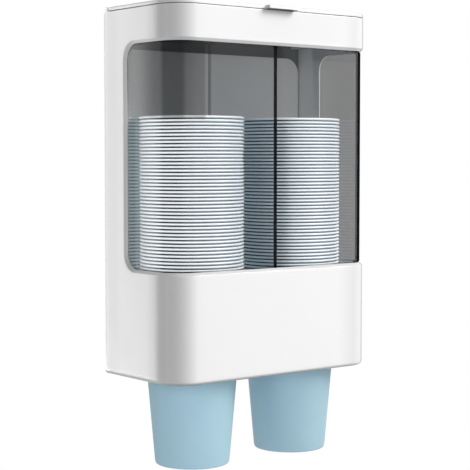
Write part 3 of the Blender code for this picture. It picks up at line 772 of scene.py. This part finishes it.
def cover_shell():
    """The moulded wall with its flared window, as a ring of (run, z) points round the window.

    A sample on the ring has a core point and a direction. The window's edge is core + (radius + offset)
    times direction, and the outer border is the nearest point of the wall's own border. Rows step from
    the window's inner edge over the flare, across the outside, round the border and back on the inside.
    """
    radius = WINDOW_CORNER - FLARE
    run_low, run_high = WINDOW_REAR + FLARE + radius, RUN - WINDOW_REAR - FLARE - radius
    z_low, z_high = WINDOW_LOW + FLARE + radius, WINDOW_HIGH - FLARE - radius
    across = run_samples(run_low, run_high)
    up = np.linspace(z_low, z_high, 9)
    turn = np.linspace(0, math.pi / 2, 17)[1:-1]
    cores, ways = [], []

    def side(run, z, way):
        for r, h in np.broadcast(run, z):
            cores.append((r, h))
            ways.append(way)

    def corner(run, z, start):
        for t in turn:
            cores.append((run, z))
            ways.append((math.cos(start + t), math.sin(start + t)))

    side(across, z_low, (0.0, -1.0))
    corner(run_high, z_low, -math.pi / 2)
    side(run_high, up, (1.0, 0.0))
    corner(run_high, z_high, 0.0)
    side(across[::-1], z_high, (0.0, 1.0))
    corner(run_low, z_high, math.pi / 2)
    side(run_low, up[::-1], (-1.0, 0.0))
    corner(run_low, z_low, math.pi)
    cores, ways = np.array(cores), np.array(ways)

    size = np.abs(ways)
    level = size[:, 1] >= size[:, 0] - 1e-9
    upright = size[:, 0] >= size[:, 1] - 1e-9
    slant = size.min(1) / size.max(1)
    foot = ways[:, 1] < -0.5
    rounding = np.where(level & foot, FOOT_ROUND, EDGE_ROUND)

    def border(share):
        """The wall's border, drawn in by share of each side's own rounding."""
        ends = np.where(ways[:, 0] > 0, RUN - EDGE_ROUND * share, EDGE_ROUND * share)
        levels = np.where(ways[:, 1] > 0, SEAM_Z - EDGE_ROUND * share, FLOOR_Z - FOOT_DROP + FOOT_ROUND * share)
        run = np.where(upright, ends, cores[:, 0] + (ends - cores[:, 0]) * slant)
        z = np.where(level, levels, cores[:, 1] + (levels - cores[:, 1]) * slant)
        return np.stack([run, z], -1)

    def edge(offset):
        return cores + (radius + offset) * ways

    def row(flat, depth):
        x, y = plan(flat[:, 0], np.broadcast_to(depth, len(flat)))
        return np.stack([x, y, flat[:, 1]], -1)

    none = np.zeros(len(ways))
    # Painted shade per point, kept as the mark 'part': the window's edge, the lower flare as a sill, the rear edges
    # and the foot's rounding are greyed
    sill = SILL_SHADE * np.clip(-ways[:, 1], 0, 1)
    rear = np.where(upright & ~level, REAR_EDGE_SHADE, 0.0)
    rows = [row(edge(0.0), WALL), row(edge(0.0), FLARE + SMALL_ROUND)]
    painted_shades = [none + WINDOW_EDGE_SHADE] * 2
    for offset, depth in ((0.03, 0.90), (0.10, 0.84), (0.90, 0.10), (0.97, 0.035), (1.06, 0.008), (1.16, 0.0)):
        rows.append(row(edge(FLARE * offset), FLARE * depth))
        painted_shades.append(sill if offset < 1 else none)
    near, far = edge(FLARE * 1.16), border(1.0)
    for share in (0.04, 0.35, 0.7, 0.97, 1.0):
        rows.append(row(near + (far - near) * share, 0.0))
        painted_shades.append(rear * (share == 1.0))
    for angle in np.linspace(0, math.pi / 2, 6)[1:]:
        rows.append(row(border(1 - math.sin(angle)), rounding * (1 - math.cos(angle))))
        painted_shades.append(np.where(level & foot, FOOT_SHADE * min(1.0, math.sin(angle) * 1.3), rear))
    near, far = border(0.0), edge(0.0)
    for share in (0.0, 0.03, 0.5, 0.97):
        rows.append(row(near + (far - near) * share, WALL))
        painted_shades.append(none)
    return Shape().grid(np.array(rows), wrap_rows=True, mark=np.array(painted_shades))


def half_outline(centre, inset, rear, way):
    """Where rays from a point of the left half meet the half's border: the middle, the sides or the round corner."""
    borders = ((0, 1, 0.0), (0, -1, inset - HALF_WIDTH), (1, 1, rear), (1, -1, inset - DEPTH))
    with np.errstate(divide="ignore", invalid="ignore"):
        reach = np.min([np.where(way[:, i] * sign > 0, (place - centre[i]) / way[:, i], np.inf)
                        for i, sign, place in borders], axis=0)
    met = centre + way * reach[:, None]
    hub = np.array([-FLAT_X, -FLAT_Y])
    turned = (met[:, 0] < hub[0]) & (met[:, 1] < hub[1])
    to_hub = centre - hub
    along = way @ to_hub
    arc = -along + np.sqrt(np.maximum(along ** 2 - to_hub @ to_hub + (CORNER - inset) ** 2, 0.0))
    return np.where(turned[:, None], centre + way * arc[:, None], met)


def plate_with_outlets(inset, rear, low, high, radius, skirt_radius=0.0, skirt_low=None):
    """A flat plate of the housing's plan with two round outlets, each the end of a skirt that hangs down.

    Each half is a ring of rays from the outlet's axis; rows step from the plate's border over its
    top, down the bore, round the skirt's lip and back along the underside.
    """
    shape = Shape()
    centre = np.array([OUTLET_X, OUTLET_Y])
    marks = [(0.0, rear), (0.0, -(DEPTH - inset)), (-(HALF_WIDTH - inset), rear)]
    exact = [math.atan2(y - centre[1], x - centre[0]) for x, y in marks]
    angles = np.unique(np.round(np.concatenate([np.linspace(-math.pi, math.pi, 145)[:-1], exact]), 9))
    way = np.stack([np.cos(angles), np.sin(angles)], -1)
    outer = half_outline(centre, inset, rear, way)
    lip = 0.0004

    below = low if skirt_low is None else skirt_low
    bore = [(radius + lip, high), (radius, high - lip), (radius, below + lip),
            (radius + lip * 0.3, below + lip * 0.3), (radius + lip, below)]
    if skirt_low is not None:
        bore += [(skirt_radius - lip, below), (skirt_radius, below + lip), (skirt_radius, low)]
    rows = [np.insert(outer, 2, z, axis=1) for z in (low, high)]
    rows += [np.insert(centre + way * reach, 2, z, axis=1) for reach, z in bore]
    for mirror in (1, -1):
        half = np.array(rows) * (mirror, 1, 1)
        shape.grid(half[1:]).grid(half[[-1, 0]])
        side = np.abs(half[0, :, 0]) > 1e-7
        for j in range(len(angles)):
            k = (j + 1) % len(angles)
            if side[j] or side[k]:
                shape.grid(half[:2, [j, k]], wrap_columns=False)
    return shape


def lid_edge(inset):
    """The lid's edge from its left rear to its right rear, with the tab let into the front, drawn in by inset."""
    tab = TAB_HALF - inset
    runs = run_samples(LID_REAR + inset, RUN_MARKS[2] + FLAT_X - tab)
    left = np.stack(plan(runs, inset), -1)
    turn = np.linspace(math.pi, 1.5 * math.pi, 6)
    corner = max(TAB_CORNER - inset, 0.0001)
    bend = np.stack([-tab + corner + corner * np.cos(turn), -(TAB_FRONT - inset) + corner + corner * np.sin(turn)], -1)
    half = np.concatenate([left, bend])
    return np.concatenate([half, (half * (-1, 1))[::-1]])


def lid_plate():
    """The lid as rings of its edge: the underside's edge, the upright edge, the rounded top edge and the flat top."""
    def row(inset, z):
        return np.insert(lid_edge(inset), 2, z, axis=1)

    small = 0.0002
    edge = ((0.0012, 0.0), (small, 0.0), (small * 0.3, small * 0.3), (0.0, small), (0.0, small * 2))
    rows = [row(inset, LID_LOW + rise) for inset, rise in edge]
    # Painted shade per point: the tab's underside and lower front edge nearly black, its left end grey, the lid's
    # rounded top edge grey
    on_tab = (np.abs(rows[3][:, 0]) < TAB_HALF + small) & (rows[3][:, 1] < -DEPTH - small)
    side = TAB_SIDE_SHADE * (on_tab & (rows[3][:, 0] < small - TAB_HALF))
    painted_shades = [TAB_UNDER_SHADE * on_tab] * 4 + [side]
    for angle in np.linspace(0, math.pi / 2, 6):
        rows.append(row(LID_ROUND * (1 - math.cos(angle)), LID_TOP - LID_ROUND * (1 - math.sin(angle))))
        painted_shades.append(np.maximum(side, LID_EDGE_SHADE * math.sin(angle) ** 2))
    rows.append(row(0.0014, LID_TOP))
    painted_shades.append(side * 0.0)
    return Shape().block(np.array(rows), np.array(painted_shades))


def knuckle_loop():
    """The hinge barrel and the strip that joins it to the lid, as points (y, z)."""
    turn = np.linspace(math.pi / 2, -math.pi, 28)
    barrel = np.stack([HINGE_Y + KNUCKLE_RADIUS * np.cos(turn), HINGE_Z + KNUCKLE_RADIUS * np.sin(turn)], -1)
    root = -(LID_REAR + 0.0006)
    join = [(HINGE_Y - KNUCKLE_RADIUS, LID_LOW + 0.0001), (root, LID_LOW + 0.0001), (root, LID_TOP - 0.0001)]
    return np.concatenate([barrel, join])


def screw_head(radius, height, recess):
    """A pan head seen from its top, as height over (radius, angle): a dome less a cross-shaped recess."""
    reach = np.linspace(0.0, 1.0, 15)[:, None]
    angle = turns(48)[None, :]
    dome = height * (1 - 0.35 * reach ** 2 - 0.65 * np.clip((reach - 0.72) / 0.28, 0, 1) ** 2)
    a, b = reach * np.cos(angle), reach * np.sin(angle)
    arm = np.minimum(np.maximum(np.abs(a), 4.2 * np.abs(b)), np.maximum(np.abs(b), 4.2 * np.abs(a)))
    sunk = recess * np.clip((0.62 - arm) / 0.12, 0, 1)
    return np.stack([radius * a, radius * b, dome - sunk], -1)


def screw(name, axis, size):
    """A cross-recessed screw in its solid's place: its head's top, its head's underside, its thread and its point.

    The thread is the shank's radius times 0.8 to 1, by a cosine that goes once round with each turn of the screw;
    over the last part of its length it is drawn in to a point.
    """
    radius, head_radius, head, length = size
    place = middle(name)
    up = "XYZ".index(axis)
    place[up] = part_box(name)[1][up] - head
    top = screw_head(head_radius, head, head * 0.7)
    threads = 14
    along = np.linspace(0.0, 1.0, threads * 6 + 1)[:, None]
    angle = turns(48)[None, :]
    wave = 0.5 + 0.5 * np.cos(2 * math.pi * (along * threads - angle / (2 * math.pi)))
    taper = np.clip((1 - along) / 0.16, 0, 1)
    shank = radius * (0.80 + 0.20 * wave) * taper
    stem = np.stack([shank * np.cos(angle), shank * np.sin(angle), -length * along + 0 * angle], -1)
    grid = np.concatenate([top, top[-1:] * (1, 1, 0), stem])
    if axis == "Y":
        grid = grid[..., [0, 2, 1]]
    Shape().grid(grid + place).piece(name + "_finished", STEEL, "root", "zinc_steel", [name])


def cup_profile(top):
    """A paper cup as (radius, height): rolled rim, tapered wall, folded foot, recessed floor, inside and back up."""
    roll = (RIM_RADIUS - ROLL_WIDTH / 2, top - ROLL_HEIGHT / 2)
    turn = np.linspace(math.radians(100), math.radians(-195), RIM_POINTS)
    rim = np.stack([roll[0] + ROLL_WIDTH / 2 * np.cos(turn), roll[1] + ROLL_HEIGHT / 2 * np.sin(turn)], -1)
    wall_top = RIM_RADIUS - ROLL_WIDTH
    foot = top - CUP_HEIGHT
    neck, base = np.array([wall_top, top - ROLL_HEIGHT * 0.8]), np.array([CUP_BASE, foot])
    wall = neck + (base - neck) * np.linspace(0.02, 0.972, WALL_POINTS)[:, None]
    fold = np.linspace(0.0, math.pi, 9)
    curl = np.stack([CUP_BASE - 0.0012 + 0.0011 * np.cos(fold), foot + 0.0012 - 0.0012 * np.sin(fold)], -1)
    recess = foot + 0.0052
    under = [(CUP_BASE - 0.0026, recess - 0.0008), (CUP_BASE - 0.0034, recess), (0.6 * CUP_BASE, recess + 0.0001),
             (0.0, recess + 0.0001)]
    up = np.array([CUP_BASE - 0.0010, recess + 0.0018])
    inside = [(0.0, recess + 0.0009), (CUP_BASE - 0.0024, recess + 0.0009), up]
    mouth = np.array([wall_top - CUP_WALL * 0.4, top - ROLL_HEIGHT * 0.55])
    inner = up + (mouth - up) * np.linspace(0.06, 1.0, WALL_POINTS)[:, None]
    return np.concatenate([rim, wall, curl, under]), np.concatenate([inside, inner, rim[:1]])


def hanging_cup(side, name):
    """The cup that hangs out: its profile turned round its axis, with the wall's lap raised along one line."""
    outside, inside = cup_profile(RIM_Z)
    centre = (side * AXIS_X, OUTLET_Y)
    steps = 144
    angle = turns(steps)
    off = np.angle(np.exp(1j * (angle - LAP_ANGLE)))
    lap = LAP_HEIGHT * np.clip((off + 0.05) / 0.03, 0, 1) * np.clip((0.14 - off) / 0.19, 0, 1)
    lapped = slice(RIM_POINTS, RIM_POINTS + WALL_POINTS + 3)
    grid = spin(outside, centre, steps)
    grid[lapped, :, 0] += lap * np.cos(angle)
    grid[lapped, :, 1] += lap * np.sin(angle)
    rim, rim_end = np.zeros((len(outside), 1)), np.zeros((len(inside), 1))
    rim[:RIM_POINTS] = rim_end[-1] = 1.0
    shape = Shape().grid(grid, mark=rim).grid(spin(inside, centre, steps), mark=rim_end)
    node = f"{name}_hanging_cup"
    return shape.piece(f"{name}_cup_of_paper", HANGING_PAPER, node, "blue_paper", [node])


def stack_profile():
    """All nested rims from the top one down and the lowest cup's body, then the top cup's hollow.

    Both are points (radius, height) with a mark each. A rim is the outer part of an ellipse.
    """
    top = SOLID_STACK_TOP
    rows, marks = [], []
    inner = RIM_RADIUS - ROLL_WIDTH
    turn = np.radians([88, 62, 34, 8, -18, -45, -74])
    for i in range(CUPS):
        level = top - i * PITCH - ROLL_HEIGHT / 2
        ring = np.stack([RIM_RADIUS - ROLL_WIDTH / 2 + ROLL_WIDTH / 2 * np.cos(turn),
                         level + ROLL_SHOWN / 2 * np.sin(turn)], -1)
        gap = [(inner + 0.0003, level - ROLL_SHOWN / 2 - 0.0001), (inner + 0.0002, level - PITCH + ROLL_SHOWN / 2)]
        rows += [*ring, *gap]
        marks += [1.0] * len(ring) + [-1.0] * len(gap)
    body_top = top - CUPS * PITCH
    foot = top - (CUPS - 1) * PITCH - CUP_HEIGHT
    inset = CUP_WALL + GAP
    body = [(inner - inset, body_top + 0.0002), (CUP_BASE - inset, foot + 0.0003),
            (CUP_BASE - inset - 0.0004, foot), (0.0, foot)]
    floor = top - CUP_HEIGHT + TOP_CUP_FLOOR
    mouth = [(RIM_RADIUS - ROLL_WIDTH * 0.75, top - 0.00012), (inner, top - ROLL_HEIGHT * 0.30),
             (inner - CUP_WALL, top - ROLL_HEIGHT * 0.7)]
    base_in = np.array([CUP_BASE - CUP_WALL, floor + 0.0010])
    neck_in = np.array(mouth[-1])
    wall = neck_in + (base_in - neck_in) * np.linspace(0.05, 1.0, WALL_POINTS)[:, None]
    hollow = np.array([rows[0], *mouth, *wall, (CUP_BASE - CUP_WALL - 0.0010, floor), (0.0, floor)])
    pale = len(mouth)
    return ((np.array(rows + body), np.array(marks + [0.0] * len(body))),
            (hollow, np.array([1.0] * pale + [0.0] * (len(hollow) - pale))))


def cup_stack(side, name):
    """A stack whose rims and gaps carry painted shade round it: the gaps darkest at its left front, where least light
    gets.

    The rims that the window shows lie lower by SETTLED, and by STRETCH per metre below the top; the shift fades
    out between the sill and the lowest rim.
    """
    shape = Shape()
    steps = 96
    turn = (np.degrees(turns(steps)) + 90.0 + 180.0) % 360.0 - 180.0

    def ease(low, high):
        share = np.clip((turn - low) / (high - low), 0, 1)
        return share * share * (3 - 2 * share)

    # Painted shade round the stack: gaps lighter from the front round to the right and, on the left stack, round its
    # left; rims a tenth darker from just left of the front round to the right
    front = ease(-50, -34) * 0.25 + ease(-34, 4) * 0.50
    left = ease(-68, -90) * 0.36 * (side < 0)
    fading = 1 - ease(110, 170)
    for profile, marks in stack_profile():
        marks = marks[:, None] * np.ones(steps)
        marks = np.where(marks < 0, marks * (1 - (front + left) * fading), marks * (1 - 0.10 * ease(-50, -16)))
        level = profile[:, 1]
        shown = np.clip((level - RIM_Z - PITCH) / (WINDOW_LOW - RIM_Z - PITCH), 0, 1)
        profile[:, 1] -= (SETTLED + STRETCH * (SOLID_STACK_TOP - level)) * shown
        shape.grid(spin(profile, (side * AXIS_X, OUTLET_Y), steps), mark=marks)
    node = f"{name}_cup_stack"
    return shape.piece(f"{name}_nested_cups", STACK_PAPER, node, "blue_paper", [node])


def finish_node(name, finish, bevel):
    """A solid that keeps its shape gets its finish and a small round along its edges."""
    node = frame["nodes"][name]
    node.data.materials.clear()
    node.data.materials.append(finish)
    node.modifiers.new("weld", "WELD").merge_threshold = 0.00001
    edge = node.modifiers.new("edge", "BEVEL")
    edge.width = bevel
    edge.segments = 2
    edge.limit_method = "ANGLE"
    edge.angle_limit = math.radians(40)
    edge.use_clamp_overlap = True
    node.modifiers.new("even", "WEIGHTED_NORMAL")
    return node


# ---- the housing's pieces ----

cover_shell().white("cover_shell", ["front_cover"])
floor_ring = plate_with_outlets(WALL - SKIN, -SKIN, FLOOR_Z + SKIN, FLOOR_Z + WALL, SKIRT_RADIUS + GAP)
floor_ring.white("cover_floor")
deck = plate_with_outlets(WALL + GAP, BEFORE_PLATE, DECK_LOW, DECK_TOP, OUTLET_RADIUS, SKIRT_RADIUS, FLOOR_Z)
deck.white("outlet_shelf", ["outlet_deck"])

for side, hand in HANDS:
    disc = circle((HINGE_Y, HINGE_Z), CHEEK_RADIUS, 48)
    cheek = extruded(disc, HALF_WIDTH - WALL, HALF_WIDTH - SKIN, "X", SMALL_ROUND)
    Shape().block(cheek * (side, 1, 1)).white(f"{hand}_hinge_cheek")
    for place, level in BOSS_LEVELS:
        x = HALF_WIDTH - WALL - BOSS
        loop = rounded_loop((x - BOSS, level - BOSS), (x + BOSS + OVERLAP, level + BOSS), 0.0008)
        boss = extruded(loop, BOSS_FRONT, BEFORE_PLATE, "Y", SMALL_ROUND)
        Shape().block(boss * (side, 1, 1)).white(f"{hand}_{place}_boss")

for i in range(1, 5):
    foot = circle(middle(f"deck_screw_{i}"), POST_RADIUS)
    post = extruded(foot, FLOOR_Z + WALL - OVERLAP, DECK_LOW - GAP, "Z", TINY_ROUND)
    Shape().block(post).white(f"deck_post_{i}")
    screw(f"deck_screw_{i}", "Z", LARGE_SCREW)
    screw(f"cover_screw_{i}", "Y", LARGE_SCREW)

pads, rails = Shape(), Shape()
for side, hand in HANDS:
    pad_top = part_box(f"{hand}_clamp_ring")[0].z - GAP
    for i in range(1, 5):
        name = f"{hand}_ring_screw_{i}"
        screw(name, "Z", SMALL_SCREW)
        pads.block(extruded(circle(middle(name), PAD_RADIUS), DECK_TOP - OVERLAP, pad_top, "Z", FINE_ROUND))
    near = PARTITION_HALF + GAP
    xs = sorted((side * near, side * (near + RAIL_WALL)))
    loop = rounded_loop((xs[0], OUTLET_Y - RAIL_HALF), (xs[1], OUTLET_Y + RAIL_HALF), SMALL_ROUND)
    rails.block(extruded(loop, DECK_TOP - OVERLAP, DECK_TOP + RAIL_HEIGHT, "Z", FINE_ROUND))
pads.white("ring_pads")
rails.white("partition_rails")

window = window_sheet().piece("smoked_window", PANE, "root", "smoked_acrylic", ["window_pane"])
window.visible_shadow = False
finish_node("partition", SCREEN, SMALL_ROUND)
back = finish_node("back_plate", GREY, TINY_ROUND)
for side, hand in HANDS:
    finish_node(f"{hand}_clamp_ring", WHITE, TINY_ROUND)
    finish_node(f"{hand}_finger_gasket", SILICONE, FINE_ROUND)
    finish_node(f"{hand}_hinge_pin", STEEL, TINY_ROUND)

# ---- the lid ----

lid_plate().white("lid_plate", ["lid"], "lid")
lip = swept_strip(LIP_REAR, RUN - LIP_REAR, WALL + LIP_PLAY, LIP_WALL, LIP_LOW, LID_LOW + 0.0002, SMALL_ROUND)
lip.white("lid_lip", body="lid")
barrel = extruded(knuckle_loop(), -KNUCKLE_HALF, KNUCKLE_HALF, "X", TINY_ROUND)
Shape().block(barrel).white("lid_knuckle", body="lid")

# ---- the cups ----

cups, stacks = [], []
for side, hand in HANDS:
    cups.append(hanging_cup(side, hand))
    stacks.append(cup_stack(side, hand))

# ---- floor, light and camera ----


def stage_floor():
    """A pale round floor well below the dispenser, fading out towards its edge."""
    made = Finish("pale_floor", Roughness=0.9, Specular_IOR_Level=0.1)
    x, y, z = made.axes()
    reach = (x * x + y * y) ** 0.5
    cloud = made.noise(0.4)
    made.surface(Base_Color=made.blend(cloud, *FLOOR_GREYS), Alpha=1 - made.ease(reach, *FLOOR_FADE))
    rings, steps = 9, 96
    radii = np.linspace(0.0, FLOOR_REACH, rings)
    plate = spin(np.stack([radii, np.full(rings, FLOOR_LEVEL)], -1), (0.0, 0.0), steps)
    mesh = bpy.data.meshes.new("floor")
    mesh.from_pydata(plate.reshape(-1, 3), [], quads(rings, steps).tolist())
    mesh.materials.append(made.material)
    disc = placed("floor", mesh)


def all_but(*left_out):
    """The meshes that a lamp reaches when it leaves some out."""
    return [piece for piece in bpy.data.objects if piece.type == "MESH" and piece not in left_out]


def soft_light(name, place, size, power, only, colour=(1.0, 1.0, 1.0), shadows=True):
    """A square soft light at place, turned to AIM; only names the pieces it reaches.

    Without shadows nothing stands in its way.
    """
    lamp = bpy.data.lights.new(name, "AREA")
    lamp.shape = "SQUARE"
    lamp.size = size
    lamp.energy = power
    lamp.color = colour
    lamp.use_shadow = shadows
    stand = placed(name, lamp)
    stand.location = place
    way = np.subtract(AIM, place)
    flat = math.hypot(way[0], way[1])
    stand.rotation_euler = (math.atan2(flat, -way[2]), 0.0, math.atan2(-way[0], way[1]))
    lit = bpy.data.collections.new(name + "_reach")
    for piece in only:
        lit.objects.link(piece)
    stand.light_linking.receiver_collection = lit


def room():
    """White all round for the eye, for mirrors and for clear sheets; even fill light.

    Behind the smoked sheets it is grey, as long as the eye looks about level.
    """
    world = bpy.data.worlds.new("room")
    bpy.context.scene.world = world
    world.use_nodes = True
    made = Nodes(world.node_tree)
    made.tree.nodes.clear()
    path = made.node("LightPath").outputs
    seen = made.value(path["Is Camera Ray"]).most(made.value(path["Is Glossy Ray"]))
    seen = seen.most(made.value(path["Is Transmission Ray"]))
    split = made.node("SeparateXYZ", {"Vector": made.node("TexCoord").outputs["Generated"]})
    rise = made.value(split.outputs[2])
    near_level = (1.0 - (abs(rise) - LEVEL_BAND).most(0.0) * LEVEL_FADE).most(0.0)
    behind = made.value(path["Transparent Depth"]).least(1.0) * near_level
    level = seen * (1 - behind * (1 - BEHIND_PANES)) + (1 - seen) * (rise * UPPER_FILL + 1.0) * FILL
    light = made.node("Background", {"Color": (1.0, 1.0, 1.0), "Strength": level})
    made.node("OutputWorld", {"Surface": light.outputs[0]})


def camera():
    """The photograph's view: from the left front, as high as the window's middle and turned a little down."""
    lens = bpy.data.cameras.new("camera")
    lens.lens = LENS
    view = placed("camera", lens)
    view.location = CAMERA_PLACE
    view.rotation_euler = (math.radians(CAMERA_TILT), 0.0, math.radians(CAMERA_TURN))
    bpy.context.scene.camera = view


stage_floor()
soft_light("front_light", FRONT_PLACE, 1.35, 72.0, all_but(back, *cups))
soft_light("cup_front_light", FRONT_PLACE, 1.35, 53.0, cups, WARM_LIGHT)
soft_light("panel_light", (-0.90, -1.90, 0.30), 1.2, 8.8, [back], shadows=False)
soft_light("flank_light", (-1.95, -0.05, 0.10), 1.2, 15.0, stacks[1:], BLUE_LIGHT, False)
soft_light("edge_light", (-0.25, 1.95, 0.10), 1.2, 28.0, stacks[:1], shadows=False)
soft_light("side_light", (-1.03, 2.76, 0.0), 1.8, 41.0, all_but(window, *cups))
soft_light("stack_light", (-1.79, -0.70, 0.15), 1.2, 35.0, stacks)
for cup, power in zip(cups, (15.5, 11.0)):
    soft_light(cup.name + "_light", CUP_PLACE, 1.2, power, [cup], COOL_LIGHT)
room()
camera()
bpy.context.scene.view_settings.view_transform = "Standard"
